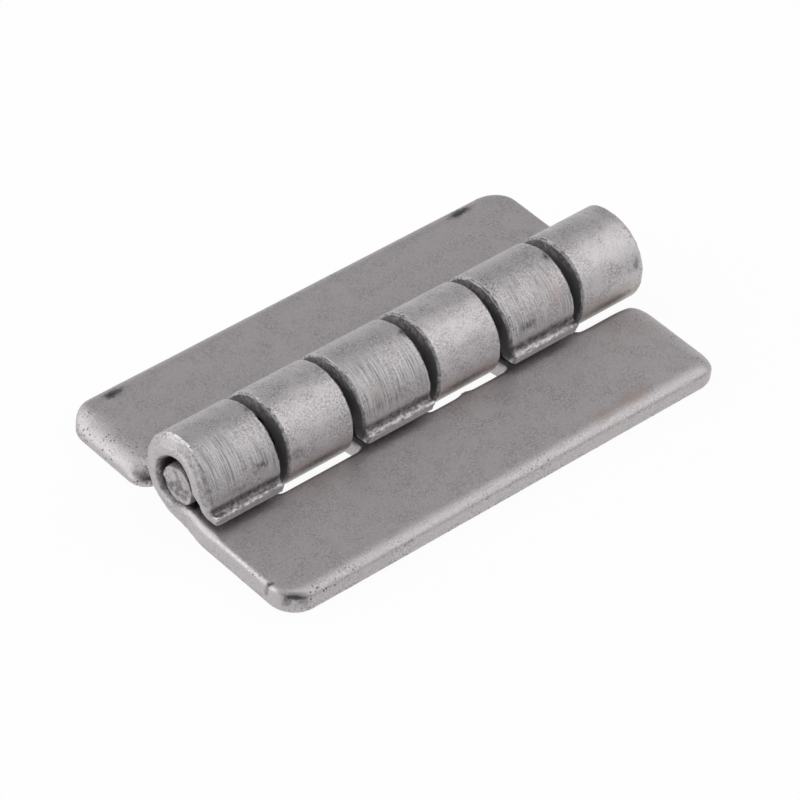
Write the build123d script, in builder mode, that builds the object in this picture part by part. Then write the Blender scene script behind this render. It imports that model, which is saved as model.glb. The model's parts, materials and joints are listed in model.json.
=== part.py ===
"""Weld-on butt hinge: two alike leaves of rolled sheet steel on one plain pin, lying open flat.

Frame, in millimetres: +X along the pin, front leaf towards -Y, back leaf towards +Y, +Z up.
The origin is below the middle of the pin, on the plane of the leaves' undersides.
"""
import os
from math import acos, cos, degrees, radians, sin, sqrt, tan

from build123d import *

# Whole hinge
LENGTH = 50.0
OPEN_WIDTH = 29.6
SHEET = 2.15

# Curl of the knuckles: angles are counted round the pin from the side away from the leaf
BORE_D = 4.4
BARREL_LIFT = 0.15
LEAD_RADIUS = 7.0
CURL_END = 153.0
CREASE_AT = 186.0
CREASE_RADIUS = 0.3

# Lip left standing at the end of each curled strip
LIP_GAP = 0.8
LIP_REACH = 4.95
LIP_HEIGHT = 0.85
LIP_LEAN = 0.1
LIP_NOSE_RADIUS = 0.45

# Knuckles along the pin
KNUCKLES = 6
KNUCKLE_GAP = 1.3

# Leaf outline seen from above: the plate stands a little past its own end knuckle and tapers in to it
CORNER_RADIUS = 2.6
NOTCH_ROOT = 4.2
NOTCH_CORNER = 0.7
NOTCH_MOUTH = 1.8
PLATE_SHIFT = 0.15
END_TRIM = 0.4
TAPER_FROM = -3.5
TAPER_TO = -0.5
TAPER_BLEND = 8.0

# Worn edges of the tumbled stamping: the upper outline is rolled over, the other rims are broken
ROLL = 0.7
RIM = 0.2

# Pin: it lies low in the bores, a hair clear of their walls, and stands proud of the end knuckles
PIN_D = 3.7
PIN_PROUD = 0.15
PIN_CHAMFER = 0.2
PIN_CLEAR = 0.02

# Angles in degrees
HALF_TURN = 180.0
DOWN = -90.0

# Sizes that follow from the ones above
half_length = LENGTH / 2
half_width = OPEN_WIDTH / 2
plate_end = half_length + PLATE_SHIFT
barrel_end = half_length - END_TRIM
bore_r = BORE_D / 2
barrel_r = bore_r + SHEET
axis_z = barrel_r + BARREL_LIFT
knuckle = (2 * barrel_end - (KNUCKLES - 1) * KNUCKLE_GAP) / KNUCKLES
pitch = knuckle + KNUCKLE_GAP
notch = knuckle + 2 * KNUCKLE_GAP
notch_starts = [k * pitch - KNUCKLE_GAP - barrel_end for k in range(1, KNUCKLES, 2)]
taper_out = (-plate_end, TAPER_FROM)
taper_in = (-barrel_end, TAPER_TO)
mouth = (LENGTH - plate_end, -NOTCH_ROOT)
curl_centre = (0, axis_z)

# The strip leaves the flat in a wide bend and meets the tight curl where both share a normal
lead_back = sqrt((LEAD_RADIUS - barrel_r) ** 2 - (LEAD_RADIUS - axis_z) ** 2)
lead_turn = degrees(acos((LEAD_RADIUS - axis_z) / (LEAD_RADIUS - barrel_r)))
lead_centre = (-lead_back, LEAD_RADIUS)
curl_start = DOWN + lead_turn

# Past the curl the inside of the strip runs straight down to its sheared end above the leaf
lip_low = SHEET + LIP_GAP
flank_top = (bore_r * cos(radians(CURL_END)), axis_z + bore_r * sin(radians(CURL_END)))
flank_foot = (flank_top[0] - (flank_top[1] - lip_low) * tan(radians(HALF_TURN - CURL_END)), lip_low)
lip_heel = (LIP_LEAN - LIP_REACH, lip_low)
lip_nose = (-LIP_REACH, lip_low + LIP_HEIGHT)
crease = (barrel_r * cos(radians(CREASE_AT)), axis_z + barrel_r * sin(radians(CREASE_AT)))

# Front leaf: the strip's section run along the pin, then notched for the other leaf's knuckles
with BuildPart() as front_leaf:
    with BuildSketch(Plane.YZ.offset(-plate_end)) as section:
        with BuildLine():
            Line((-half_width, 0), (-lead_back, 0))
            CenterArc(lead_centre, LEAD_RADIUS, DOWN, lead_turn)
            CenterArc(curl_centre, barrel_r, curl_start, CREASE_AT - curl_start)
            Polyline(crease, lip_nose, lip_heel, flank_foot, flank_top)
            CenterArc(curl_centre, bore_r, CURL_END, curl_start - CURL_END)
            CenterArc(lead_centre, LEAD_RADIUS - SHEET, curl_start, -lead_turn)
            Polyline((-lead_back, SHEET), (-half_width, SHEET), (-half_width, 0))
        make_face()
        fillet(section.vertices().sort_by_distance(crease)[0], CREASE_RADIUS)
        fillet(section.vertices().sort_by_distance(lip_nose)[0], LIP_NOSE_RADIUS)
    extrude(amount=LENGTH)
    with BuildSketch(Plane.XY) as outline:
        with Locations((-plate_end, -half_width)):
            Rectangle(LENGTH, OPEN_WIDTH, align=(Align.MIN, Align.MIN))
        fillet(outline.vertices().group_by(Axis.Y)[0], CORNER_RADIUS)
        with Locations(*[(x, -NOTCH_ROOT) for x in notch_starts]):
            Rectangle(notch, OPEN_WIDTH, align=(Align.MIN, Align.MIN), mode=Mode.SUBTRACT)
        fillet(outline.vertices().group_by(Axis.Y)[2].sort_by(Axis.X)[:-1], NOTCH_CORNER)
        fillet(outline.vertices().sort_by_distance(mouth)[0], NOTCH_MOUTH)
        with BuildLine():
            Polyline(taper_out, taper_in, (-barrel_end, OPEN_WIDTH), (-plate_end, OPEN_WIDTH), close=True)
        make_face(mode=Mode.SUBTRACT)
        fillet(outline.vertices().sort_by_distance(taper_out)[0], TAPER_BLEND)
        fillet(outline.vertices().sort_by_distance(taper_in)[0], TAPER_BLEND)
    extrude(amount=OPEN_WIDTH, both=True, mode=Mode.INTERSECT)
    with BuildSketch(Plane.XY.offset(SHEET + LIP_GAP / 2)):
        with Locations(*[(x, 0) for x in notch_starts]):
            Rectangle(notch, OPEN_WIDTH, align=(Align.MIN, Align.CENTER))
    extrude(amount=OPEN_WIDTH, mode=Mode.SUBTRACT)
    upper = front_leaf.faces().filter_by(Axis.Z).group_by(Axis.Z)[1]
    upper_rims = upper.edges().filter_by(Axis.X).group_by(Axis.Y)
    chamfer(upper_rims[1].sort_by(Axis.X)[:-1], RIM)
    upper = front_leaf.faces().filter_by(Axis.Z).group_by(Axis.Z)[1]
    upper_rims = upper.edges().filter_by(Axis.X).group_by(Axis.Y)
    fillet(upper_rims[0], ROLL)
    underside = front_leaf.faces().filter_by(Axis.Z).group_by(Axis.Z)[0]
    lower_rims = underside.edges().filter_by(Axis.X).group_by(Axis.Y)
    chamfer(lower_rims[0] + lower_rims[1], RIM)
front_leaf.part.label = "front_leaf"

# Back leaf: the same stamping turned half round
with BuildPart() as back_leaf:
    with Locations(Rotation(0, 0, HALF_TURN)):
        add(front_leaf.part)
back_leaf.part.label = "back_leaf"

# Pin, sunk below the bores' centre
seat = bore_r - PIN_D / 2 - PIN_CLEAR
with BuildPart() as hinge_pin:
    with BuildSketch(Plane.YZ.offset(-barrel_end - PIN_PROUD)):
        with Locations((0, axis_z - seat)):
            Circle(PIN_D / 2)
    extrude(amount=2 * (barrel_end + PIN_PROUD))
    chamfer(hinge_pin.edges(), PIN_CHAMFER)
hinge_pin.part.label = "hinge_pin"

os.makedirs("parts", exist_ok=True)
export_step(front_leaf.part, "parts/front_leaf.step")
export_step(back_leaf.part, "parts/back_leaf.step")
export_step(hinge_pin.part, "parts/hinge_pin.step")
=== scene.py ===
"""Weld-on butt hinge in raw tumbled steel, lying open on a white table in soft studio light."""

import json
from collections import namedtuple
from math import cos, pi, radians, sin

import bmesh
import bpy
import numpy as np
from mathutils import Matrix, Vector, noise

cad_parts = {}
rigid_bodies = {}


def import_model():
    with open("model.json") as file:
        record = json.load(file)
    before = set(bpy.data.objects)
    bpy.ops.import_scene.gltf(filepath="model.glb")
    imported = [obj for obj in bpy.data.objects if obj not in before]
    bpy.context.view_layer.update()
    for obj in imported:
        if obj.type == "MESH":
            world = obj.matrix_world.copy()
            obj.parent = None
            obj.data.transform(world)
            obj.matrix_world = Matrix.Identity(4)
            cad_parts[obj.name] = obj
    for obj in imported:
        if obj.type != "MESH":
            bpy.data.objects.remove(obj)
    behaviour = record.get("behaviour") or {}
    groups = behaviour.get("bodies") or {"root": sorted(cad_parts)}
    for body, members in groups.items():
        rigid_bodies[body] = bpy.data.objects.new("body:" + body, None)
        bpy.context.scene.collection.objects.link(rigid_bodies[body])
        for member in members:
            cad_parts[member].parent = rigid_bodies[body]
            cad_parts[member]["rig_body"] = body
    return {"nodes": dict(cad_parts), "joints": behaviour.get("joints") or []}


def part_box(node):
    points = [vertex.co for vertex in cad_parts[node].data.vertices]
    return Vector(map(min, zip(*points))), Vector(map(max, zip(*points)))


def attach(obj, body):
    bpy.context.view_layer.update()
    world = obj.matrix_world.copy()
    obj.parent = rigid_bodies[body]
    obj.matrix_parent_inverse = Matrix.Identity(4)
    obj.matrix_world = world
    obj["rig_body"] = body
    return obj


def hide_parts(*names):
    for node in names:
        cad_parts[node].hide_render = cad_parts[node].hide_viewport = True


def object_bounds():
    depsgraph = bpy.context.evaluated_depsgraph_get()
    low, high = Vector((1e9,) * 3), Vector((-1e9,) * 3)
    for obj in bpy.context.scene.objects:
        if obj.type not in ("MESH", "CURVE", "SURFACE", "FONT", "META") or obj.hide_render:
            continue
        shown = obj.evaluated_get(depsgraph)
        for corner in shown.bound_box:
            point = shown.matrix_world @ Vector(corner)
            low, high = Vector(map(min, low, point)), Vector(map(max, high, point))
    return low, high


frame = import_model()
cad_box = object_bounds()

# Sizes of the hinge, in metres, from the frame and from the sheet it is stamped and rolled from
MM = 0.001
SHEET = 2.15 * MM
CORNER_RADIUS = 2.6 * MM
ROLL = 0.7 * MM
KNUCKLES = 6
KNUCKLE_GAP = 1.3 * MM
PIN_PROUD = 0.15 * MM
axis_z = frame["joints"][0]["pos_m"][2]
leaf_low, leaf_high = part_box("front_leaf")
pin_low, pin_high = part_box("hinge_pin")
barrel_r = leaf_high.z - axis_z
bore_r = barrel_r - SHEET
barrel_end = pin_high.x - PIN_PROUD
knuckle = (2 * barrel_end - (KNUCKLES - 1) * KNUCKLE_GAP) / KNUCKLES
knuckle_starts = [k * (knuckle + KNUCKLE_GAP) - barrel_end for k in range(0, KNUCKLES, 2)]
knuckle_ends = [(x, -1) for x in knuckle_starts] + [(x + knuckle, 1) for x in knuckle_starts]
outer_end = knuckle_starts[0]

# Both leaves are one stamping: the back leaf's places are turned half round to the front leaf's, and back
FRONT_TURN = np.array((1.0, 1.0, 1.0))
BACK_TURN = np.array((-1.0, -1.0, 1.0))

# Most pairs below are ramps: a mask is 0 at the first value and 1 at the second
# Angles are in degrees round the pin, 0 on the side away from the leaf and 90 on top
# Patches are the size of their lumps and the ramp over the noise

# Lip at the end of each curled strip, across the pin and up: crease, nose, and hollow darkened with painted
# shade
CREASE = (-4.33 * MM, 4.05 * MM)
LIP_NOSE = (-4.95 * MM, 3.80 * MM)
HOLLOW = (-4.42 * MM, 4.28 * MM)
NOSE_BAND = 0.5 * MM

# Curl round the pin, fading in over its lead-in and out over its lip
CURL_FROM = (-115, -45)
CURL_TO = (190, 160)

# Fine meshes of the leaves
REMESH_DEPTH = 8
REMESH_FILL = 0.92
RIM_BAND = 0.6 * MM
LIP_BAND = 1.1 * MM
SHARP_ANGLE = radians(38)

# Softening of tumbled edges, by how sharply they turn per millimetre, and of the crease above the lips
EDGE_SOFTENING = 2
EDGE_SHARE = 0.6
EDGE_TURN = (0.4, 1.6)
KEPT_BAND = 0.8 * MM
KEPT_REACH = barrel_r + 0.1 * MM
CREASE_SOFTENING = 24
CREASE_SHARE = 0.7
CREASE_BAND = 0.75 * MM

# Outer end of the outer knuckle: inner skin bulged by the curling
END_BULGE = 0.50 * MM
END_BEVEL = 1.15 * MM
END_REACH = 1.6 * MM
BULGE_FROM = (-115, -75)

# The same end: mouth of the bore worn wider
MOUTH_WEAR = 0.20 * MM
MOUTH_BAND = 1.2 * MM
MOUTH_FROM = (-80, -40)
MOUTH_TO = (50, 5)
MOUTH_FADE = (1 * MM, 3 * MM)

# The same end: corner of the lip worn back
LIP_CORNER = 0.65 * MM
CORNER_TOP = (CREASE[1] + 0.4 * MM, CREASE[1] - 1.1 * MM)
CORNER_FOOT = (SHEET, SHEET + 0.4 * MM)
CORNER_SIDE = (CREASE[0] + 1.4 * MM, CREASE[0] + 0.4 * MM)

# The same end: burr on top of the rim
END_BURR = 0.07 * MM
END_BURR_INSET = 0.15 * MM
END_BURR_BAND = 0.2 * MM
END_BURR_SKIN = (barrel_r - 0.1 * MM, barrel_r)
END_BURR_FROM = (50, 60)
END_BURR_TO = (100, 92)

# Rolled upper edges of the plate, width and depth: along the leaf, at the barrel's end and at the open end
LONG_ROLL = (1.3 * MM, 0.75 * MM)
TIGHT_ROLL = (0.5 * MM, 0.45 * MM)
OPEN_ROLL = (3.6 * MM, 1.60 * MM)
ROLL_BLEND = 2.2 * MM
OPENING = (-5 * MM, 5 * MM)
ROLLED_BELOW = SHEET + 0.02 * MM
ROLLED_BEFORE = CREASE[0] - 1 * MM

# Frayed rims and lips: how far, over which band, and the sizes and shares of their lumps
FRAY = 0.13 * MM
FRAY_BAND = 0.35 * MM
FRAY_LUMPS = ((0.7 * MM, 1.0), (0.25 * MM, 0.7))
LIP_RIDGE = 0.14 * MM
LIP_FRAY = 0.20 * MM
LIP_FRAY_BAND = 0.55 * MM
LIP_LUMPS = ((1.1 * MM, 1.0), (0.35 * MM, 0.8), (0.2 * MM, 0.6))
LIP_LEAN = (-0.6, 0.8)

# Spread ends of the knuckles: along the pin, up, past the notch or clear of the plate
SPREAD_REACH = (0.3 * MM, 2.5 * MM)
SPREAD_HEIGHT = (axis_z - 0.5 * MM, axis_z + 3.5 * MM)
PAST_NOTCH = (-4.0 * MM, -1.5 * MM)
CLEAR_OF_PLATE = (SHEET + 0.2 * MM, SHEET + 0.6 * MM)

# Burrs torn up along the edge of a notch
NOTCH_EDGE = -4.2 * MM
NOTCH_BAND = 0.6 * MM
NOTCH_HEIGHT = (0.3 * SHEET, 0.8 * SHEET)
NOTCH_TOP = SHEET + 0.1 * MM
TORN_SIZE = 0.4 * MM
TORN_SHARE = 0.8

# Dented upper faces, and faint waves and peening all over
DENTED_HEIGHT = (0.2 * SHEET, 0.6 * SHEET)
WAVE_SIZE = 5.0 * MM
WAVE_DEPTH = 0.008 * MM
PEEN_SIZE = 0.9 * MM
PEEN_DEPTH = 0.006 * MM

# Wear of each leaf, with some painted shade among it, in millimetres and degrees
# Spread: how far the knuckles' starts, then ends, stand along the pin from even spacing, low down and on top
# Burrs: along the pin, half length, height
# Dents, marks and stains: along and across the pin, half length, half width, turn, depth or strength
# Smudges, brown tints and painted shade low on the knuckles: along the pin, degrees forward of the top, half
# length, half turn, strength
LeafWear = namedtuple("LeafWear", "spread notch_burrs lip_burrs dents marks smudges tints stains")
FRONT_WEAR = LeafWear(
    spread=((-0.28, -0.58), (0.20, 0.0)),
    notch_burrs=((3.7, 0.55, 0.22), (16.6, 0.6, 0.5)),
    lip_burrs=((15.8, 0.5, 0.35), (-5.6, 0.7, -0.16), (-24.2, 0.6, 0.12)),
    dents=((-24.0, -14.1, 1.0, 0.22, -37, 0.18), (-24.9, -11.9, 0.3, 0.2, -37, 0.10)),
    marks=((-24.0, -14.05, 1.05, 0.16, -37, 0.95), (-24.9, -11.9, 0.35, 0.25, -37, 0.8)),
    smudges=(
        (-19.4, 66, 1.3, 9, 0.45),
        (-6.4, 72, 1.6, 6, 0.3),
        (-4.2, 68, 2.6, 14, 0.26),
        (10.8, 70, 1.2, 8, 0.5),
        (-22.0, 80, 2.0, 5, 0.5),
        (-0.9, 8, 0.5, 9, 0.6),
        (15.8, 8, 0.5, 9, 0.6),
        (-17.8, 2, 0.4, 8, 0.5),
    ),
    tints=((-6.4, 58, 0.7, 18, 0.3), (14.6, 48, 0.8, 20, 0.35)),
    stains=((14.0, -13.4, 4.5, 0.8, 0, 0.75), (20.5, -7.5, 2.5, 2.0, 30, 0.35)),
)
BACK_WEAR_AND_SHADE = LeafWear(
    spread=((0.15, 0.20), (0.30, 0.10)),
    notch_burrs=(),
    lip_burrs=(),
    dents=(
        (-24.2, 5.0, 1.4, 0.9, -37, 0.45),
        (-20.4, 13.9, 0.9, 0.4, 0, 0.05),
        (19.7, 14.2, 1.1, 0.3, 0, 0.05),
    ),
    # Dark marks: painted shade of the dimple by the outer knuckle and of two press marks, over their dents,
    # and a small speck
    marks=(
        (-24.4, 4.8, 1.6, 0.85, -37, 1.0),
        (-20.4, 13.7, 1.2, 0.50, 0, 0.85),
        (19.7, 13.9, 1.4, 0.50, 0, 0.9),
        (-17.1, 8.6, 0.2, 0.15, 0, 0.5),
    ),
    # Smudges of dirt, and three long bands about 103 degrees forward of the top: painted shade on the
    # knuckles' lower parts, with some dirt
    smudges=(
        (-15.6, 75, 1.3, 9, 0.45),
        (-12.8, 103, 4.0, 9, 0.55),
        (23.8, 65, 0.5, 16, 0.4),
        (3.6, 103, 4.0, 9, 0.55),
        (21.0, 104, 4.0, 8, 0.5),
    ),
    # Brown tints low on the knuckles: painted shade, tinted warm
    tints=((-12.6, 104, 5.0, 13, 0.85), (4.2, 104, 5.0, 13, 0.85), (21.0, 104, 5.0, 12, 0.75)),
    stains=(),
)

# Masks of the curled skin, its part with drag lines, the plate, and the sheared faces between knuckles
MASK_SOFTENING = 2
BARREL_SKIN = (barrel_r - 0.5 * MM, barrel_r - 0.1 * MM)
DRAGGED_FROM = (92, 112)
DRAGGED_TO = (178, 160)
PLATE_HEIGHT = (0.2 * SHEET, 0.5 * SHEET)
PLATE_REACH = (barrel_r, barrel_r + 0.5 * MM)
CUT_FACING = (0.5, 0.8)
CUT_REACH = (barrel_r + 0.2 * MM, barrel_r + 0.1 * MM)
CUT_INSIDE = (barrel_end - 1 * MM, barrel_end - 2 * MM)
CUT_HEIGHT = (0.6 * SHEET, SHEET)

# Edges rubbed bright, partly polish and partly a painted highlight, and patches of painted light on the tops
# of the sheared faces
RUBBED_AND_LIT_TURN = (0.4, 2.2)
CUT_TOP = (axis_z + 0.55 * barrel_r, axis_z + 0.9 * barrel_r)
CUT_TOP_PATCHES = (0.35 * MM, -0.8, 0.3)
CUT_TOP_PAINTED_LIGHT = 0.8

# Darkening in corners, by how sharply they turn inwards per millimetre
CORNER_TURN = (-0.15, -1.0)
CORNER_DARKENING = 0.6

# Painted shade on the slanted outer band of the outer knuckle's bulged end
BEVEL_REACH = (barrel_r - END_BEVEL, barrel_r - 0.6 * END_BEVEL)
BEVEL_FROM = (60, 95)
BEVEL_TO = (186, 170)
BEVEL_OUT = (outer_end, outer_end - 0.06 * MM)
BEVEL_PAINTED_SHADE = 0.36

# Darkening on the walls of the bores, which face the pin
WALL_FACING = (-0.3, -0.8)
WALL_REACH = (bore_r + 0.7 * MM, bore_r + 0.5 * MM)
WALL_DARKENING = 0.48

# Painted shade: a dark line along the rims of the sheared faces, in the gaps between knuckles
RIM_REACH = (barrel_r - 0.20 * MM, barrel_r - 0.08 * MM)
RIM_FROM = (60, 80)
RIM_TO = (150, 120)
RIM_PAINTED_SHADE = 0.9

# Painted shade in the hollow above the lips
HOLLOW_BAND = 0.95 * MM
HOLLOW_OFF_NOSE = (0.2, 0.8)
HOLLOW_PATCHES = (0.9 * MM, -1.6, 0.0)
HOLLOW_PAINTED_SHADE = 0.62

# Darkening along the lower edges
LOW_EDGE = (0.22 * SHEET, 0.08 * SHEET)
LOW_FACING = (0.98, 0.8)
LOW_CLOUDS = (4.0 * MM, -0.2, 0.5)
LOW_PATCHES = (0.7 * MM, -0.4, 0.5)
LOW_EDGE_DARKENING = 0.65

# Brown stains on the plate
STAIN_PATCHES = (1.5 * MM, -0.5, 0.5)

# Chips: on the plate's upper edges, at its open end, on its lower edges, and on the rims of the knuckles
CHIP_TURN = (0.1, 0.5)
CHIP_REACH = (barrel_r, barrel_r + 1 * MM)
CHIP_PATCHES = (3.0 * MM, -0.1, 0.4)
CHIP_HEIGHT = (SHEET, 0.97 * SHEET)
OPEN_END = (leaf_high.x - 4 * MM, leaf_high.x - 1 * MM)
OPEN_PATCHES = (1.5 * MM, -0.2, 0.3)
OPEN_CHIPS = 0.8
LOW_CHIP_HEIGHT = (0.35 * SHEET, 0.1 * SHEET)
LOW_CHIP_FACING = (0.7, 0.4)
LOW_CHIP_PATCHES = (2.0 * MM, -0.2, 0.3)
RIM_CHIP_BAND = 0.8 * MM
RIM_CHIP_PATCHES = (1.0 * MM, -0.2, 0.3)
RIM_CHIPS = 0.8

# Hinge pin: a cropped rod whose ends keep the marks of the shears
PIN_SIDES = 96
PIN_RINGS = 26
PIN_CHAMFER = 0.08 * MM
PIN_RELIEF = 0.05 * MM
PIN_REACH = 0.20 * MM
RELIEF_LUMPS = ((0.9 * MM, 0.6), (0.3 * MM, 0.4))
BREAK_SIDE = (0.51, -0.86)
BREAK_FROM = 1.0 * MM
BREAK_DEPTH = 0.16 * MM
BREAK_STEP = 0.15 * MM
BREAK_LINE = 0.14 * MM
BREAK_SIZE = 0.7 * MM
BREAK_WANDER = 0.3 * MM
END_GRIME = (0.15, 0.35)
END_PATCHES = (0.6 * MM, -0.3, 0.5)
BREAK_GRIME = 0.95
ROD_GRIME = 0.55

# Steel colours
LIGHT_STEEL = (0.51, 0.482, 0.486, 1.0)
DIM_STEEL = (0.475, 0.447, 0.452, 1.0)
# Also used for the painted shade in hollows, gaps, bevels and dents
DARK_STEEL = (0.090, 0.086, 0.088, 1.0)
# Sheared faces: dull cut steel, made darker as painted shade in the gaps between knuckles
SHADED_SHEAR_STEEL = (0.155, 0.149, 0.154, 1.0)
ROLLED_STEEL = (0.590, 0.565, 0.570, 1.0)
DRAGGED_STEEL = (0.525, 0.504, 0.508, 1.0)
# Also the painted highlight on rubbed edges and lips
BRIGHT_STEEL = (0.680, 0.665, 0.670, 1.0)
# Also the painted shade tinted brown low on the back knuckles
WARM_STEEL = (0.46, 0.385, 0.340, 1.0)

# Sockets of the mix node that carry colours: they share their names with its other sockets
MIX_FIRST = 6
MIX_SECOND = 7
MIX_RESULT = 2

# Noises of the finish: detail and roughness
FINE_NOISE = (2.0, 0.6)
MOTTLE_NOISE = (6.0, 0.65)
WIDE_NOISE = (1.0, 0.5)
BREAK_NOISE = (4.0, 0.7)

# Ramps of the finish: from low and high, then to low and high where they are not 0 and 1
RARE_PITS = (0.86, 0.95)
PIT_HOLE = (0.03, 0.08, 1.0, 0.0)
GOUGES = (0.27, 0.36, 1.0, 0.0)
RUBBED_AND_LIT_BREAKS = (0.40, 0.55)
DIRT_AND_SHADE_RANGE = (0.10, 0.80)
DIRT_AND_SHADE_LIMIT = (0.02, 0.15)
CHIPS_KEPT = (0.50, 0.62)
CHIP_HOLE = (0.20, 0.45, 1.0, 0.0)
DRAG_PATCHES = (0.40, 0.60, 1.2, 0.35)
GRAIN_PATCHES = (0.38, 0.62, 0.5, 1.4)
DIM_PATCHES = (0.35, 0.65)
DARK_GRAINS = (0.38, 0.50, 0.30, 0.0)
BRIGHT_GRAINS = (0.50, 0.62, 0.0, 0.50)
DARK_LINES = (0.38, 0.50)
BRIGHT_LINES = (0.50, 0.62)
SHEARED_METAL = (0.0, 1.0, 1.0, 0.2)
MOTTLED_ROUGHNESS = (0.3, 0.7, 0.54, 0.47)

# Strengths in the finish
GOUGE_SCALE = 0.55
DIRT_AND_SHADE_BREAKS = 0.9
NOISE_MIDDLE = 0.5
# Strength of the painted highlight on rubbed edges
EDGE_PAINTED_HIGHLIGHT = 0.5
RUBBED_POLISH = 0.10
DARK_LINE_SHARE = 0.7
BRIGHT_LINE_SHARE = 1.3
GOUGE_SHARE = 0.35
LINE_ROUGHNESS = 0.25
LINE_HEIGHT = 2
BUMP_STRENGTH = 0.7
BUMP_DISTANCE = 0.05 * MM

# Camera, as the photograph was taken: place, line of sight and the picture's upright, and lens
CAMERA_PLACE = Vector((-215.17, -207.58, 265.73)) * MM
CAMERA_SIGHT = Vector((0.5385, 0.5188, -0.6640))
CAMERA_UPRIGHT = Vector((0.4013, 0.5350, 0.7435))
CAMERA_LENS = 209.85
CAMERA_CLIP = 0.01
SENSOR = 36.0

# Studio
TABLE_SIZE = 4.0
TABLE_COLOUR = (0.90, 0.90, 0.90, 1.0)
TABLE_ROUGHNESS = 0.9
TABLE_GLOW = 0.94
ROOM_COLOUR = (0.43, 0.43, 0.44, 1.0)
FRONT_COLOUR = (0.20, 0.20, 0.21, 1.0)
HORIZON_COLOUR = (0.95, 0.95, 0.96, 1.0)
HORIZON_HEIGHT = 0.42
HORIZON_DEPTH = (-0.4, 0.4)
SOFTBOX_SIZE = 0.70
SOFTBOX_DISTANCE = 0.5
SOFTBOXES = {
    "front_softbox": (Vector((0.54, -0.40, 0.74)), 1.25),
    "back_softbox": (Vector((-0.70, 0.55, 0.48)), 1.7),
}


def points_of(mesh):
    """Vertex places and normals of a mesh as arrays."""
    count = len(mesh.vertices)
    places = np.empty(count * 3, np.float32)
    normals = np.empty(count * 3, np.float32)
    mesh.vertices.foreach_get("co", places)
    mesh.vertices.foreach_get("normal", normals)
    return places.reshape(-1, 3).astype(float), normals.reshape(-1, 3).astype(float)


def set_points(mesh, places):
    """Move a mesh's vertices to new places."""
    mesh.vertices.foreach_set("co", places.astype(np.float32).ravel())
    mesh.update()


def edge_pairs(mesh):
    """The two vertex numbers of every edge."""
    pairs = np.empty(len(mesh.edges) * 2, np.int32)
    mesh.edges.foreach_get("vertices", pairs)
    return pairs.reshape(-1, 2)


def spread(values, pairs):
    """Mean of each vertex's neighbours."""
    total = np.zeros_like(values)
    count = np.zeros(len(values))
    for here, there in (pairs.T, pairs.T[::-1]):
        np.add.at(total, here, values[there])
        np.add.at(count, here, 1)
    count = np.maximum(count, 1)
    return total / (count if values.ndim == 1 else count[:, None])


def bulge(places, normals, pairs):
    """How sharply the skin turns per millimetre at each vertex: above 0 on an edge, below in a corner."""
    total = np.zeros(len(places))
    count = np.zeros(len(places))
    for here, there in (pairs.T, pairs.T[::-1]):
        step = places[there] - places[here]
        drop = np.einsum("ij,ij->i", step, normals[here])
        np.add.at(total, here, -2 * drop / np.einsum("ij,ij->i", step, step))
        np.add.at(count, here, 1)
    return total / count * MM


def ramp(values, start, end):
    """0 at start and 1 at end, smooth between and level outside."""
    t = np.clip((values - start) / (end - start), 0, 1)
    return t * t * (3 - 2 * t)


def bumps(places, size):
    """Soft noise from about -1 to 1 with lumps of that size."""
    return np.array([noise.noise(Vector(p) / size) for p in places])


def lumps(places, sizes):
    """Soft noises of several sizes, each with its share, laid over each other."""
    return sum(share * bumps(places, size) for size, share in sizes)


def patches(places, size, start, end):
    """Soft patches from lumps of that size: 0 where their noise is at start and 1 where it is at end."""
    return ramp(bumps(places, size), start, end)


def oval(along, across, half_length, half_width, turn=0.0):
    """1 in the middle of a soft oval spot and 0 outside it."""
    u = along * cos(radians(turn)) + across * sin(radians(turn))
    v = across * cos(radians(turn)) - along * sin(radians(turn))
    return np.exp(-((u / half_length) ** 2) - (v / half_width) ** 2)


def line_spot(at, along, half_length):
    """A soft spot on a line along the pin."""
    return oval(at[:, 0] / MM - along, 0, half_length, 1)


def plate_spot(places, along, across, half_length, half_width, turn):
    """A soft spot seen from above."""
    return oval(places[:, 0] / MM - along, places[:, 1] / MM - across, half_length, half_width, turn)


def barrel_spot(places, along, forward, half_length, half_turn):
    """A soft spot on the knuckles, so many degrees forward of the top."""
    turned = np.degrees(np.arctan2(-places[:, 1], places[:, 2] - axis_z))
    return oval(places[:, 0] / MM - along, turned - forward, half_length, half_turn)


def mark(mesh, name, values):
    """Keep a mask on the mesh's vertices for the materials."""
    layer = mesh.attributes.new(name, "FLOAT", "POINT")
    layer.data.foreach_set("value", np.clip(values, 0, 1).astype(np.float32))


def round_the_pin(at):
    """Distance from the pin's axis, and degrees round it: 0 on the side away from the leaf, 90 on top."""
    return np.hypot(at[:, 1], at[:, 2] - axis_z), np.degrees(np.arctan2(at[:, 2] - axis_z, at[:, 1]))


def push_out(at, angle, distance):
    """Move places away from the pin's axis."""
    at[:, 1] += distance * np.cos(np.radians(angle))
    at[:, 2] += distance * np.sin(np.radians(angle))


def curled(angle):
    """1 where the strip is curled round the pin, fading out over its lead-in and its lip."""
    return ramp(angle, *CURL_FROM) * ramp(angle, *CURL_TO)


def end_band(at, band):
    """1 at the ends of the knuckles, fading to 0 along them."""
    return np.max([1 - ramp(np.abs(at[:, 0] - end), 0, band) for end, _ in knuckle_ends], axis=0)


def from_outer_end(at):
    """Distance along the pin from the outer end of the outer knuckle."""
    return np.abs(at[:, 0] - outer_end)


def lip_band(at, line, band):
    """1 on a line along the lips, given across the pin, fading to 0 around it."""
    return 1 - ramp(np.hypot(at[:, 1] - line[0], at[:, 2] - line[1]), 0, band)


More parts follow.
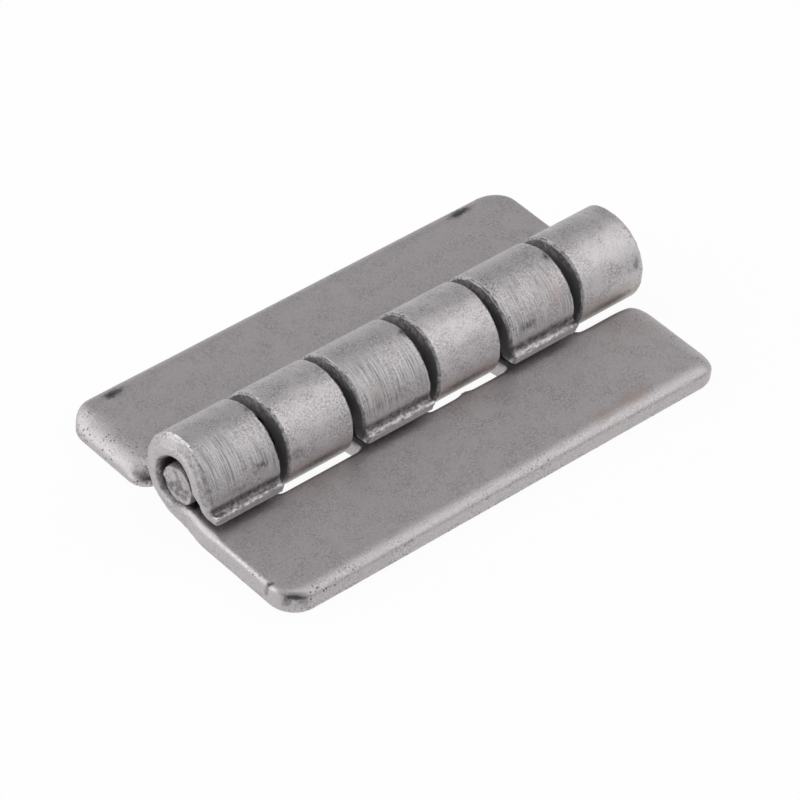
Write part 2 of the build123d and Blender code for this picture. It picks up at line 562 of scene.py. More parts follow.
def worn_copy(node, name):
    """A finely meshed copy of a leaf's CAD node in the same place, standing for it."""
    source = frame["nodes"][node]
    remesh = source.modifiers.new("fine_mesh", "REMESH")
    remesh.mode = "SHARP"
    remesh.octree_depth = REMESH_DEPTH
    remesh.scale = REMESH_FILL
    remesh.use_remove_disconnected = False
    graph = bpy.context.evaluated_depsgraph_get()
    mesh = bpy.data.meshes.new_from_object(source.evaluated_get(graph))
    source.modifiers.remove(remesh)
    mesh.name = name
    mesh.materials.clear()
    mesh.shade_smooth()
    piece = bpy.data.objects.new(name, mesh)
    bpy.context.scene.collection.objects.link(piece)
    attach(piece, source["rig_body"])
    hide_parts(node)
    return piece


def refine(mesh, chosen):
    """Halve the cells whose corners are all chosen."""
    cells = bmesh.new()
    cells.from_mesh(mesh)
    edges = [e for e in cells.edges if chosen[e.verts[0].index] and chosen[e.verts[1].index]]
    bmesh.ops.subdivide_edges(cells, edges=edges, cuts=1, use_grid_fill=True)
    cells.to_mesh(mesh)
    cells.free()


def refine_rims(mesh, turn):
    """Give the rims and the lips of the knuckles a finer mesh."""
    places, _ = points_of(mesh)
    at = places * turn
    reach, _ = round_the_pin(at)
    rims = (end_band(at, RIM_BAND) > 0) & (reach < barrel_r + RIM_BAND) & (at[:, 2] > SHEET)
    refine(mesh, rims | (lip_band(at, LIP_NOSE, LIP_BAND) > 0))


def soften_edges(mesh, turn):
    """Round the tumbled edges, but not the frayed rims between the knuckles or the lips."""
    pairs = edge_pairs(mesh)
    for _ in range(EDGE_SOFTENING):
        places, normals = points_of(mesh)
        at = places * turn
        reach, _ = round_the_pin(at)
        kept = end_band(at, KEPT_BAND) * (reach < KEPT_REACH)
        kept = np.maximum(kept, lip_band(at, LIP_NOSE, KEPT_BAND))
        share = EDGE_SHARE * ramp(np.abs(bulge(places, normals, pairs)), *EDGE_TURN) * (1 - kept)
        set_points(mesh, places + share[:, None] * (spread(places, pairs) - places))


def soften_crease(mesh, turn):
    """Smooth the crease above the lips to a hollow."""
    places, _ = points_of(mesh)
    at = places * turn
    hollow = lip_band(at, CREASE, CREASE_BAND) * (1 - lip_band(at, LIP_NOSE, NOSE_BAND))
    pairs = edge_pairs(mesh)
    pairs = pairs[(hollow[pairs] > 0).any(axis=1)]
    for _ in range(CREASE_SOFTENING):
        places += CREASE_SHARE * hollow[:, None] * (spread(places, pairs) - places)
    set_points(mesh, places)


def bulge_end(at, reach, angle):
    """Push the outer knuckle's inner skin out past its end, as thick sheet goes when curled tight."""
    inner = np.clip((barrel_r - reach) / END_BEVEL, 0, 1) * ramp(angle, *BULGE_FROM) * ramp(angle, *CURL_TO)
    near = 1 - ramp(from_outer_end(at), 0, END_REACH)
    at[:, 0] -= END_BULGE * inner * near


def wear_mouth(at, reach, angle):
    """Wear the mouth of the outer knuckle's bore wider, away from the leaf."""
    mouth = ramp(angle, *MOUTH_FROM) * ramp(angle, *MOUTH_TO)
    mouth *= 1 - ramp(reach, bore_r, bore_r + MOUTH_BAND)
    mouth *= 1 - ramp(from_outer_end(at), *MOUTH_FADE)
    push_out(at, angle, MOUTH_WEAR * mouth)


def wear_lip_corner(at):
    """Wear back the outer corner of the outer knuckle's lip."""
    corner = ramp(at[:, 2], *CORNER_TOP) * ramp(at[:, 2], *CORNER_FOOT) * ramp(at[:, 1], *CORNER_SIDE)
    at[:, 0] += LIP_CORNER * corner * (1 - ramp(from_outer_end(at), 0, END_REACH))


def raise_end_burr(at, reach, angle):
    """Leave a small burr on top of the outer knuckle's rim."""
    burr = 1 - ramp(np.abs(at[:, 0] - outer_end - END_BURR_INSET), 0, END_BURR_BAND)
    burr *= ramp(reach, *END_BURR_SKIN) * ramp(angle, *END_BURR_FROM) * ramp(angle, *END_BURR_TO)
    push_out(at, angle, END_BURR * burr)


def shape_outer_end(at):
    """Work the wear into the outer end of the outer knuckle."""
    reach, angle = round_the_pin(at)
    bulge_end(at, reach, angle)
    wear_mouth(at, reach, angle)
    wear_lip_corner(at)
    raise_end_burr(at, reach, angle)


def roll_height(inside, width, depth):
    """Height of the upper face so far inside the outline, under a roll of that width and depth."""
    t = np.clip(1 - inside / width, 0, 1)
    return SHEET - depth * (1 - np.sqrt(1 - t * t))


def roll_outline(at):
    """Roll each side of the plate's upper edge: tight at the barrel's end, wide at the open end."""
    middle = (leaf_low.x + leaf_high.x) / 2
    past_x = np.abs(at[:, 0] - middle) - (leaf_high.x - middle - CORNER_RADIUS)
    past_y = leaf_low.y + CORNER_RADIUS - at[:, 1]
    corner = np.hypot(np.maximum(past_x, 0), np.maximum(past_y, 0))
    inside = np.maximum(CORNER_RADIUS - corner - np.minimum(np.maximum(past_x, past_y), 0), 0)
    on_end = ramp(past_x - past_y, -ROLL_BLEND, ROLL_BLEND)
    opening = ramp(at[:, 0], *OPENING)
    ends = [tight + (wide - tight) * opening for tight, wide in zip(TIGHT_ROLL, OPEN_ROLL)]
    width, depth = [side + (end - side) * on_end for side, end in zip(LONG_ROLL, ends)]
    share = roll_height(inside, width, depth) / roll_height(inside, ROLL, ROLL)
    plate = at[:, 2] < ROLLED_BELOW
    plate &= (at[:, 1] < ROLLED_BEFORE) | (at[:, 0] > knuckle_ends[-1][0])
    at[plate, 2] *= share[plate]


def fray_rims(at):
    """Leave the sheared rims of the knuckles uneven."""
    reach, angle = round_the_pin(at)
    rim = end_band(at, FRAY_BAND) * ramp(reach, barrel_r - FRAY_BAND, barrel_r) * curled(angle)
    at[:, 0] += FRAY * rim * lumps(at, FRAY_LUMPS)


def fray_lips(at, burrs):
    """Sharpen the lips to a ragged ridge."""
    ridge = lip_band(at, LIP_NOSE, LIP_FRAY_BAND)
    ragged = LIP_RIDGE + LIP_FRAY * lumps(at, LIP_LUMPS)
    for along, half_length, height in burrs:
        ragged += height * MM * line_spot(at, along, half_length)
    at[:, 1] += LIP_LEAN[0] * ragged * ridge
    at[:, 2] += LIP_LEAN[1] * ragged * ridge


def spread_ends(at, shifts):
    """Move the ends of the knuckles that face another knuckle, as uneven curling has left them."""
    knuckled = np.maximum(ramp(at[:, 1], *PAST_NOTCH), ramp(at[:, 2], *CLEAR_OF_PLATE))
    along = at[:, 0].copy()
    high = ramp(at[:, 2], *SPREAD_HEIGHT)
    for end, side in knuckle_ends[1:]:
        near = 1 - ramp(np.abs(along - end), *SPREAD_REACH)
        low_shift, top_shift = shifts[side > 0]
        at[:, 0] += (low_shift + (top_shift - low_shift) * high) * MM * near * knuckled


def raise_burrs(at, burrs):
    """Torn burrs that stand out from the edge of a notch."""
    edge = (1 - ramp(np.abs(at[:, 1] - NOTCH_EDGE), 0, NOTCH_BAND)) * ramp(at[:, 2], *NOTCH_HEIGHT)
    edge *= at[:, 2] < NOTCH_TOP
    for along, half_length, height in burrs:
        torn = 1 + TORN_SHARE * bumps(at, TORN_SIZE)
        at[:, 1] += height * MM * edge * torn * line_spot(at, along, half_length)


def dent(places, normals, dents):
    """Push dents into the upper faces."""
    for *spot, depth in dents:
        push = depth * MM * plate_spot(places, *spot) * ramp(places[:, 2], *DENTED_HEIGHT)
        places -= push[:, None] * normals


def shape_leaf(mesh, turn, wear):
    """Work the wear into a leaf's form; turn brings its places to the front leaf's."""
    refine_rims(mesh, turn)
    soften_edges(mesh, turn)
    soften_crease(mesh, turn)
    places, _ = points_of(mesh)
    at = places * turn
    shape_outer_end(at)
    roll_outline(at)
    fray_rims(at)
    fray_lips(at, wear.lip_burrs)
    spread_ends(at, wear.spread)
    raise_burrs(at, wear.notch_burrs)
    set_points(mesh, at * turn)
    places, normals = points_of(mesh)
    dent(places, normals, wear.dents)
    rise = WAVE_DEPTH * bumps(places, WAVE_SIZE) + PEEN_DEPTH * bumps(places, PEEN_SIZE)
    set_points(mesh, places + rise[:, None] * normals)
    mesh.set_sharp_from_angle(angle=SHARP_ANGLE)


class Skin:
    """A leaf's vertices for its masks: where they are, how they face, and what part they lie on."""

    def __init__(self, mesh, turn):
        self.pairs = edge_pairs(mesh)
        self.places, self.normals = points_of(mesh)
        self.at = self.places * turn
        self.along = self.at[:, 0]
        self.height = self.at[:, 2]
        self.reach, self.angle = round_the_pin(self.at)
        self.sharp = bulge(self.places, self.normals, self.pairs)
        for _ in range(MASK_SOFTENING):
            self.sharp = spread(self.sharp, self.pairs)
        outward = self.normals[:, 1] * turn[1] * self.at[:, 1] + self.normals[:, 2] * (self.height - axis_z)
        self.outward = outward / self.reach
        self.upward = np.abs(self.normals[:, 2])
        self.barrel = ramp(self.reach, *BARREL_SKIN) * curled(self.angle)
        self.plate = ramp(self.height, *PLATE_HEIGHT) * ramp(self.reach, *PLATE_REACH)
        self.cut = ramp(np.abs(self.normals[:, 0]), *CUT_FACING) * ramp(self.reach, *CUT_REACH)
        self.cut *= ramp(np.abs(self.along), *CUT_INSIDE)

    def sector(self, start, end):
        """1 between two ramps of degrees round the pin."""
        return ramp(self.angle, *start) * ramp(self.angle, *end)


def rubbed_edges_and_painted_light(skin):
    """Edges rubbed bright, partly a painted highlight, and patches of painted light on the tops of the
    sheared faces.
    """
    top = ramp(skin.height, *CUT_TOP) * patches(skin.at, *CUT_TOP_PATCHES)
    return np.maximum(ramp(skin.sharp, *RUBBED_AND_LIT_TURN), CUT_TOP_PAINTED_LIGHT * top * skin.cut)


def dirt_and_shade(skin, marks, smudges):
    """Darkening in corners, on bore walls and along lower edges, painted shade on the bulged end, along the
    sheared rims and in the hollows above the lips, dark marks on the plate that are partly painted shade of
    dents, and smudged dirt with painted shade on knuckles.
    """
    corner = ramp(skin.sharp, *CORNER_TURN)
    bevel = ramp(skin.reach, *BEVEL_REACH) * skin.sector(BEVEL_FROM, BEVEL_TO) * ramp(skin.along, *BEVEL_OUT)
    wall = ramp(skin.outward, *WALL_FACING) * ramp(skin.reach, *WALL_REACH)
    rim = skin.cut * ramp(skin.reach, *RIM_REACH) * skin.sector(RIM_FROM, RIM_TO)
    off_nose = ramp(1 - lip_band(skin.at, LIP_NOSE, NOSE_BAND), *HOLLOW_OFF_NOSE)
    hollow = lip_band(skin.at, HOLLOW, HOLLOW_BAND) * off_nose * patches(skin.at, *HOLLOW_PATCHES)
    low = ramp(skin.height, *LOW_EDGE) * ramp(skin.upward, *LOW_FACING)
    low *= patches(skin.at, *LOW_CLOUDS) * patches(skin.at, *LOW_PATCHES)
    layers = [CORNER_DARKENING * corner, BEVEL_PAINTED_SHADE * bevel, WALL_DARKENING * wall, RIM_PAINTED_SHADE * rim]
    layers += [HOLLOW_PAINTED_SHADE * hollow, LOW_EDGE_DARKENING * low]
    layers += [strength * plate_spot(skin.places, *spot) * skin.plate for *spot, strength in marks]
    layers += [strength * barrel_spot(skin.places, *spot) * skin.barrel for *spot, strength in smudges]
    return np.max(layers, axis=0)


def tint_and_shade_mask(skin, tints, stains):
    """Brown tint on the front knuckles, painted shade tinted brown low on the back knuckles, and brown
    stains on the plate.
    """
    warm = np.zeros(len(skin.places))
    for *spot, strength in tints:
        warm = np.maximum(warm, strength * barrel_spot(skin.places, *spot) * skin.barrel)
    for *spot, strength in stains:
        stain = plate_spot(skin.places, *spot) * skin.plate * patches(skin.at, *STAIN_PATCHES)
        warm = np.maximum(warm, strength * stain)
    return warm


def chipped_edges(skin):
    """Where small chips break the edges of the plate and the rims of the knuckles."""
    off_barrel = ramp(skin.reach, *CHIP_REACH)
    upper = spread(ramp(skin.sharp, *CHIP_TURN), skin.pairs) * off_barrel * patches(skin.at, *CHIP_PATCHES)
    open_end = OPEN_CHIPS * ramp(skin.along, *OPEN_END) * patches(skin.at, *OPEN_PATCHES)
    upper = np.maximum(upper, open_end) * ramp(skin.height, *CHIP_HEIGHT)
    lower = ramp(skin.height, *LOW_CHIP_HEIGHT) * ramp(skin.upward, *LOW_CHIP_FACING) * off_barrel
    lower *= patches(skin.at, *LOW_CHIP_PATCHES)
    rims = RIM_CHIPS * skin.barrel * end_band(skin.at, RIM_CHIP_BAND) * patches(skin.at, *RIM_CHIP_PATCHES)
    return np.max([upper, lower, rims], axis=0)


def mark_leaf(mesh, turn, wear):
    """Masks for curled skin and drag lines, sheared ends, rubbed edges with painted light, dirt with painted
    shade, brown tint with painted shade, and chips.
    """
    skin = Skin(mesh, turn)
    mark(mesh, "barrel", skin.barrel)
    mark(mesh, "curl", skin.barrel * skin.sector(DRAGGED_FROM, DRAGGED_TO))
    mark(mesh, "sheared", skin.cut * ramp(skin.height, *CUT_HEIGHT))
    mark(mesh, "rubbed_edge", rubbed_edges_and_painted_light(skin))
    mark(mesh, "grime", dirt_and_shade(skin, wear.marks, wear.smudges))
    mark(mesh, "brown_tint", tint_and_shade_mask(skin, wear.tints, wear.stains))
    mark(mesh, "chipped", chipped_edges(skin))


class Nodes:
    """Short hand for laying nodes into a tree."""

    def __init__(self, tree):
        self.tree = tree

    def add(self, kind, **settings):
        """A new node, its settings given to sockets or to the node itself."""
        node = self.tree.nodes.new(kind)
        for key, value in settings.items():
            if key in node.inputs:
                node.inputs[key].default_value = value
            else:
                setattr(node, key, value)
        return node

    def link(self, source, target):
        """Join an output to an input."""
        self.tree.links.new(source, target)

    def math(self, operation, first, second):
        """Sum of two values, or another operation."""
        node = self.add("ShaderNodeMath", operation=operation)
        for socket, value in zip(node.inputs, (first, second)):
            if isinstance(value, (int, float)):
                socket.default_value = value
            else:
                self.link(value, socket)
        return node.outputs[0]

    def range(self, value, low, high, to_low=0.0, to_high=1.0):
        """A smooth ramp over a value."""
        node = self.add("ShaderNodeMapRange", interpolation_type="SMOOTHSTEP")
        self.link(value, node.inputs["Value"])
        node.inputs["From Min"].default_value = low
        node.inputs["From Max"].default_value = high
        node.inputs["To Min"].default_value = to_low
        node.inputs["To Max"].default_value = to_high
        return node.outputs["Result"]

    def mix(self, share, first, second):
        """The first colour, with a share of the second."""
        node = self.add("ShaderNodeMix", data_type="RGBA")
        sockets = (node.inputs["Factor"], node.inputs[MIX_FIRST], node.inputs[MIX_SECOND])
        for socket, value in zip(sockets, (share, first, second)):
            if isinstance(value, (tuple, float)):
                socket.default_value = value
            else:
                self.link(value, socket)
        return node.outputs[MIX_RESULT]

    def mask(self, name):
        """A mask kept on the mesh."""
        return self.add("ShaderNodeAttribute", attribute_name=name).outputs["Fac"]

    def noise(self, where, scale, detail, roughness):
        """Noise of a scale that comes from a socket."""
        node = self.add("ShaderNodeTexNoise", Detail=detail, Roughness=roughness)
        self.link(where, node.inputs["Vector"])
        self.link(scale, node.inputs["Scale"])
        return node.outputs["Fac"]

    def cells(self, where, scale):
        """Voronoi cells of a scale from a socket: a random value for each, and how far its middle is."""
        node = self.add("ShaderNodeTexVoronoi")
        self.link(where, node.inputs["Vector"])
        self.link(scale, node.inputs["Scale"])
        return node.outputs["Color"], node.outputs["Distance"]


def new_group(name, inputs, outputs):
    """An empty shader node group with float inputs, given with their defaults, and float outputs."""
    tree = bpy.data.node_groups.new(name, "ShaderNodeTree")
    for socket, value in inputs.items():
        made = tree.interface.new_socket(socket, in_out="INPUT", socket_type="NodeSocketFloat")
        made.default_value = value
    for socket in outputs:
        tree.interface.new_socket(socket, in_out="OUTPUT", socket_type="NodeSocketFloat")
    nodes = Nodes(tree)
    return tree, nodes, nodes.add("NodeGroupInput").outputs, nodes.add("NodeGroupOutput").inputs


def make_grain_group():
    """Fine grain, cloudy mottling and a few pits of tumbled steel."""
    sizes = {"Grain Scale": 6200.0, "Mottle Scale": 450.0, "Pit Scale": 420.0}
    tree, n, given, out = new_group("tumbled_grain", sizes, ("Grain", "Mottle", "Pits"))
    where = n.add("ShaderNodeTexCoord").outputs["Object"]
    n.link(n.noise(where, given["Grain Scale"], *FINE_NOISE), out["Grain"])
    n.link(n.noise(where, given["Mottle Scale"], *MOTTLE_NOISE), out["Mottle"])
    chance, distance = n.cells(where, given["Pit Scale"])
    n.link(n.math("MULTIPLY", n.range(chance, *RARE_PITS), n.range(distance, *PIT_HOLE)), out["Pits"])
    return tree


def make_drag_group():
    """Fine drag lines that run round the pin, left by the curling die."""
    sizes = {"Line Scale": 9500.0, "Run": 0.035}
    tree, n, given, out = new_group("drag_lines", sizes, ("Lines", "Gouges"))
    where = n.add("ShaderNodeTexCoord").outputs["Object"]
    parts = n.add("ShaderNodeSeparateXYZ")
    n.link(where, parts.inputs[0])
    joined = n.add("ShaderNodeCombineXYZ")
    n.link(parts.outputs["X"], joined.inputs["X"])
    n.link(n.math("MULTIPLY", parts.outputs["Y"], given["Run"]), joined.inputs["Y"])
    n.link(n.math("MULTIPLY", parts.outputs["Z"], given["Run"]), joined.inputs["Z"])
    n.link(n.noise(joined.outputs[0], given["Line Scale"], *FINE_NOISE), out["Lines"])
    wide = n.noise(joined.outputs[0], n.math("MULTIPLY", given["Line Scale"], GOUGE_SCALE), *WIDE_NOISE)
    n.link(n.range(wide, *GOUGES), out["Gouges"])
    return tree


def make_wear_group():
    """Where edges are rubbed bright with a painted highlight, where dirt and painted shade darken the steel
    and where chips are, all broken up by noise.
    """
    sizes = {"Break Scale": 2600.0, "Chip Scale": 3600.0}
    tree, n, given, out = new_group("wear_and_dirt", sizes, ("Rubbed", "Dirt", "Chips"))
    where = n.add("ShaderNodeTexCoord").outputs["Object"]
    patchy = n.noise(where, given["Break Scale"], *BREAK_NOISE)
    n.link(n.math("MULTIPLY", n.mask("rubbed_edge"), n.range(patchy, *RUBBED_AND_LIT_BREAKS)), out["Rubbed"])
    breaks = n.math("MULTIPLY", n.math("SUBTRACT", patchy, NOISE_MIDDLE), DIRT_AND_SHADE_BREAKS)
    dirt_and_shade_amount = n.range(n.math("ADD", n.mask("grime"), breaks), *DIRT_AND_SHADE_RANGE)
    n.link(n.math("MULTIPLY", dirt_and_shade_amount, n.range(n.mask("grime"), *DIRT_AND_SHADE_LIMIT)), out["Dirt"])
    chance, distance = n.cells(where, given["Chip Scale"])
    chip = n.math("MULTIPLY", n.range(chance, *CHIPS_KEPT), n.range(distance, *CHIP_HOLE))
    n.link(n.math("MULTIPLY", chip, n.mask("chipped")), out["Chips"])
    return tree


GRAIN = make_grain_group()
DRAG = make_drag_group()
WEAR_DIRT_AND_PAINTED_LIGHT = make_wear_group()


def make_steel(name, rolled, drag, plate_grain, barrel_grain):
    """Raw tumbled steel: grainy grey, rubbed edges brightened as a painted highlight, drag lines on the
    curl, dull sheared ends darkened as painted shade with painted light on their tops, and dirt with painted
    shade.
    """
    material = bpy.data.materials.new(name)
    material.use_nodes = True
    n = Nodes(material.node_tree)
    steel = material.node_tree.nodes["Principled BSDF"]
    tumbled = n.add("ShaderNodeGroup", node_tree=GRAIN).outputs
    wear = n.add("ShaderNodeGroup", node_tree=WEAR_DIRT_AND_PAINTED_LIGHT).outputs
    drawn = n.add("ShaderNodeGroup", node_tree=DRAG).outputs

    barrel = n.mask("barrel")
    curl = n.math("MULTIPLY", n.mask("curl"), n.range(tumbled["Mottle"], *DRAG_PATCHES))
    grain = n.math("ADD", n.math("MULTIPLY", barrel, barrel_grain - plate_grain), plate_grain)
    grain = n.math("MULTIPLY", grain, n.range(tumbled["Mottle"], *GRAIN_PATCHES))
    dark_grains = n.math("MULTIPLY", grain, n.range(tumbled["Grain"], *DARK_GRAINS))
    bright_grains = n.math("MULTIPLY", grain, n.range(tumbled["Grain"], *BRIGHT_GRAINS))
    dark_lines = n.range(drawn["Lines"], *DARK_LINES, DARK_LINE_SHARE * drag, 0.0)
    bright_lines = n.range(drawn["Lines"], *BRIGHT_LINES, 0.0, BRIGHT_LINE_SHARE * drag)
    gouges = n.math("MULTIPLY", drawn["Gouges"], GOUGE_SHARE * drag)

    colour = n.mix(barrel, LIGHT_STEEL, rolled)
    colour = n.mix(n.range(tumbled["Mottle"], *DIM_PATCHES), colour, DIM_STEEL)
    # Painted highlight: rubbed edges and lip beads brightened
    colour = n.mix(n.math("MULTIPLY", wear["Rubbed"], EDGE_PAINTED_HIGHLIGHT), colour, BRIGHT_STEEL)
    colour = n.mix(dark_grains, colour, DARK_STEEL)
    colour = n.mix(bright_grains, colour, BRIGHT_STEEL)
    colour = n.mix(n.math("MULTIPLY", curl, dark_lines), colour, DARK_STEEL)
    colour = n.mix(n.math("MULTIPLY", curl, bright_lines), colour, BRIGHT_STEEL)
    colour = n.mix(n.math("MULTIPLY", curl, gouges), colour, DARK_STEEL)
    # Brown tints and stains, and painted shade tinted brown low on the back knuckles
    colour = n.mix(n.mask("brown_tint"), colour, WARM_STEEL)
    # Sheared faces darkened as painted shade in the gaps, with painted light on their tops
    colour = n.mix(n.mask("sheared"), colour, n.mix(wear["Rubbed"], SHADED_SHEAR_STEEL, LIGHT_STEEL))
    # Dirt and pits darken the colour here, and so does the painted shade in hollows, gaps, bevels and dents
    colour = n.mix(n.math("MAXIMUM", wear["Dirt"], tumbled["Pits"]), colour, DARK_STEEL)
    colour = n.mix(wear["Chips"], colour, DARK_STEEL)
    n.link(colour, steel.inputs["Base Color"])
    n.link(n.range(n.mask("sheared"), *SHEARED_METAL), steel.inputs["Metallic"])

    rough = n.range(tumbled["Mottle"], *MOTTLED_ROUGHNESS)
    rough = n.math("SUBTRACT", rough, n.math("MULTIPLY", wear["Rubbed"], RUBBED_POLISH))
    rough = n.math("ADD", rough, n.math("MULTIPLY", curl, LINE_ROUGHNESS * drag))
    n.link(rough, steel.inputs["Roughness"])

    ridges = n.math("MULTIPLY", n.math("MULTIPLY", drawn["Lines"], curl), LINE_HEIGHT * drag)
    height = n.math("ADD", n.math("MULTIPLY", tumbled["Grain"], grain), ridges)
    height = n.math("SUBTRACT", height, tumbled["Pits"])
    bump = n.add("ShaderNodeBump", Strength=BUMP_STRENGTH, Distance=BUMP_DISTANCE)
    n.link(height, bump.inputs["Height"])
    n.link(bump.outputs["Normal"], steel.inputs["Normal"])
    return material


def dress_leaf(node, name, turn, wear, material):
    """One worn leaf in the place of its CAD node."""
    piece = worn_copy(node, name)
    shape_leaf(piece.data, turn, wear)
    mark_leaf(piece.data, turn, wear)
    piece.data.materials.append(material)


def past_break(y, z):
    """How far past the ragged line where the shears let go and the steel broke off."""
    ragged = noise.noise(Vector((0.0, y, z)) / BREAK_SIZE)
    return y * BREAK_SIDE[0] + z * BREAK_SIDE[1] - BREAK_FROM - BREAK_WANDER * ragged


def crop_relief(y, z):
    """How far a cropped end of the pin is sunk at a place across it."""
    place = Vector((0.0, y, z))
    rough = sum(share * noise.noise(place / size) for size, share in RELIEF_LUMPS)
    step = min(max(past_break(y, z) / BREAK_STEP, 0.0), 1.0)
    return PIN_RELIEF * (1 + rough) + BREAK_DEPTH * step


def end_rings(end, side, radius):
    """Rings of places over a cropped end of the pin, from near its middle to its chamfered edge."""
    spokes = [2 * pi * k / PIN_SIDES for k in range(PIN_SIDES)]
    rings = []
    for k in range(PIN_RINGS):
        r = (radius - PIN_CHAMFER) * (k + 1) / PIN_RINGS
        across = [(r * cos(a), r * sin(a)) for a in spokes]
        rings.append([(end + side * crop_relief(y, z), y, z) for y, z in across])
    edge = end + side * (PIN_CHAMFER + PIN_RELIEF + BREAK_DEPTH)
    rings.append([(edge, radius * cos(a), radius * sin(a)) for a in spokes])
    return rings


def pin_mesh(radius, centre_z):
    """The rod with its two cropped ends."""
    cells = bmesh.new()
    ends = []
    for end, side in ((pin_low.x - PIN_REACH, 1), (pin_high.x + PIN_REACH, -1)):
        rings = end_rings(end, side, radius)
        ends.append([[cells.verts.new((x, y, centre_z + z)) for x, y, z in ring] for ring in rings])
    for rings in ends:
        inmost = rings[0]
        hub = cells.verts.new(sum((v.co for v in inmost), Vector()) / PIN_SIDES)
        for a, b in zip(inmost, inmost[1:] + inmost[:1]):
            cells.faces.new((hub, a, b))
    near, far = ends
    chain = near + far[::-1]
    for inner, outer in zip(chain, chain[1:]):
        for corners in zip(inner, inner[1:] + inner[:1], outer[1:] + outer[:1], outer):
            cells.faces.new(corners)
    bmesh.ops.recalc_face_normals(cells, faces=cells.faces)
    mesh = bpy.data.meshes.new("worn_hinge_pin")
    cells.to_mesh(mesh)
    cells.free()
    mesh.shade_smooth()
    mesh.set_sharp_from_angle(angle=SHARP_ANGLE)
    return mesh


def mark_pin(mesh, centre_z):
    """Grime on the rod and its cropped ends, darkest along the break, and none of the leaves' other wear."""
    places, _ = points_of(mesh)
    past = np.array([past_break(y, z - centre_z) for _, y, z in places])
    least, more = END_GRIME
    mottled = least + more * patches(places, *END_PATCHES)
    mottled = np.maximum(mottled, BREAK_GRIME * (1 - ramp(np.abs(past), 0, BREAK_LINE)))
    mark(mesh, "grime", np.where(np.abs(places[:, 0]) > barrel_end, mottled, ROD_GRIME))
    for name in ("rubbed_edge", "barrel", "curl", "sheared", "brown_tint", "chipped"):
        mark(mesh, name, np.zeros(len(places)))


def make_pin(material):
    """The worn pin in the place of its CAD node."""
    centre_z = (pin_high.z + pin_low.z) / 2
    mesh = pin_mesh((pin_high.y - pin_low.y) / 2, centre_z)
    mark_pin(mesh, centre_z)
    mesh.materials.append(material)
    piece = bpy.data.objects.new("worn_hinge_pin", mesh)
    bpy.context.scene.collection.objects.link(piece)
    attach(piece, frame["nodes"]["hinge_pin"]["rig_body"])
    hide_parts("hinge_pin")


def lay_table():
    """A pale table: white where it is looked at, straight or in the steel, and keeping a soft shadow."""
    mesh = bpy.data.meshes.new("table")
    half = TABLE_SIZE / 2
    low = min(cad_box[0].z, 0.0)
    corners = [(-half, -half, low), (half, -half, low), (half, half, low), (-half, half, low)]
    mesh.from_pydata(corners, [], [(0, 1, 2, 3)])
    table = bpy.data.objects.new("table", mesh)
    bpy.context.scene.collection.objects.link(table)
    material = bpy.data.materials.new("white_table")
    material.use_nodes = True
    n = Nodes(material.node_tree)
    paint = material.node_tree.nodes["Principled BSDF"]
    paint.inputs["Base Color"].default_value = TABLE_COLOUR
    paint.inputs["Roughness"].default_value = TABLE_ROUGHNESS
    glow = n.add("ShaderNodeEmission", Strength=1.0)
    path = n.add("ShaderNodeLightPath")
    seen = n.math("MAXIMUM", path.outputs["Is Camera Ray"], path.outputs["Is Glossy Ray"])
    seen = n.math("MAXIMUM", seen, path.outputs["Is Transmission Ray"])
    mixed = n.add("ShaderNodeMixShader")
    n.link(n.math("MULTIPLY", seen, TABLE_GLOW), mixed.inputs[0])
    n.link(paint.outputs[0], mixed.inputs[1])
    n.link(glow.outputs[0], mixed.inputs[2])
    n.link(mixed.outputs[0], material.node_tree.nodes["Material Output"].inputs["Surface"])
    mesh.materials.append(material)


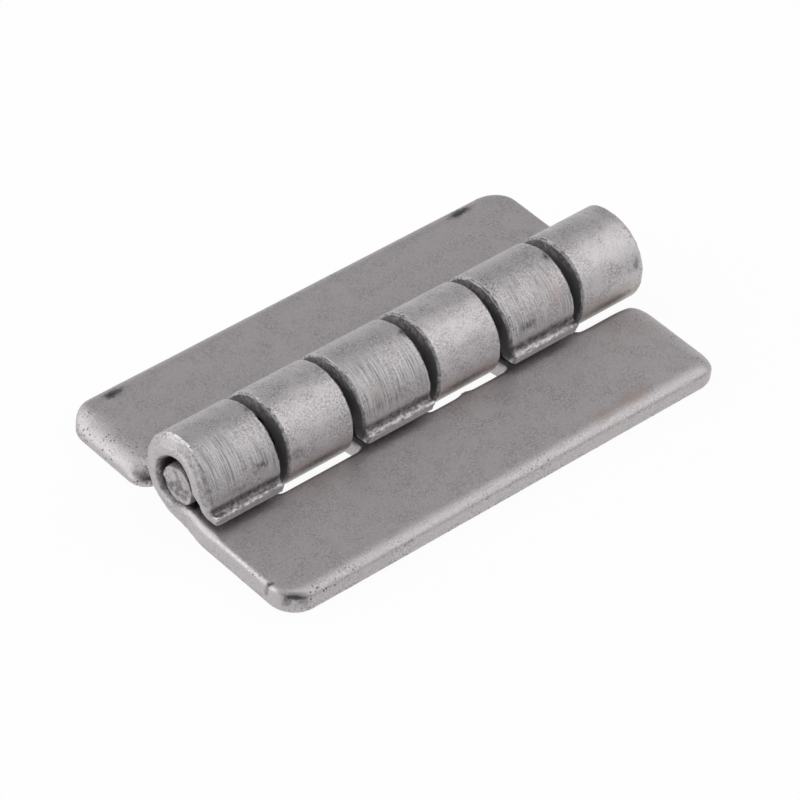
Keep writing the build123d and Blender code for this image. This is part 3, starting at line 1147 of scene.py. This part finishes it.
def light_room():
    """A grey room, bright low down behind the hinge and dark before it, and two large softboxes.

    One softbox stands right of the hinge's front and one left of its back.
    """
    world = bpy.data.worlds.new("room")
    bpy.context.scene.world = world
    world.use_nodes = True
    n = Nodes(world.node_tree)
    parts = n.add("ShaderNodeSeparateXYZ")
    n.link(n.add("ShaderNodeTexCoord").outputs["Generated"], parts.inputs[0])
    height = n.range(parts.outputs["Z"], 0.0, HORIZON_HEIGHT)
    low = n.mix(n.range(parts.outputs["Y"], *HORIZON_DEPTH), FRONT_COLOUR, HORIZON_COLOUR)
    n.link(n.mix(height, low, ROOM_COLOUR), world.node_tree.nodes["Background"].inputs["Color"])
    for name, (side, power) in SOFTBOXES.items():
        lamp = bpy.data.lights.new(name, "AREA")
        lamp.shape = "DISK"
        lamp.size = SOFTBOX_SIZE
        lamp.energy = power
        softbox = bpy.data.objects.new(name, lamp)
        bpy.context.scene.collection.objects.link(softbox)
        softbox.location = side.normalized() * SOFTBOX_DISTANCE
        softbox.rotation_mode = "QUATERNION"
        softbox.rotation_quaternion = side.to_track_quat("Z", "Y")


def set_camera():
    """The photograph's camera."""
    lens = bpy.data.cameras.new("camera")
    lens.lens = CAMERA_LENS
    lens.sensor_width = SENSOR
    lens.clip_start = CAMERA_CLIP
    camera = bpy.data.objects.new("camera", lens)
    bpy.context.scene.collection.objects.link(camera)
    back = -CAMERA_SIGHT.normalized()
    right = CAMERA_UPRIGHT.cross(back).normalized()
    upright = back.cross(right)
    turned = Matrix((right, upright, back)).transposed().to_4x4()
    camera.matrix_world = Matrix.Translation(CAMERA_PLACE) @ turned
    bpy.context.scene.camera = camera


front_steel = make_steel(
    "front_leaf_steel", rolled=DRAGGED_STEEL, drag=0.46, plate_grain=0.55, barrel_grain=0.8
)
dress_leaf("front_leaf", "worn_front_leaf", FRONT_TURN, FRONT_WEAR, front_steel)
back_steel = make_steel(
    "back_leaf_steel", rolled=ROLLED_STEEL, drag=0.20, plate_grain=0.5, barrel_grain=0.85
)
dress_leaf("back_leaf", "worn_back_leaf", BACK_TURN, BACK_WEAR_AND_SHADE, back_steel)
make_pin(make_steel("hinge_pin_steel", rolled=LIGHT_STEEL, drag=0.0, plate_grain=0.7, barrel_grain=0.7))

lay_table()
light_room()
set_camera()
bpy.context.scene.view_settings.view_transform = "Standard"
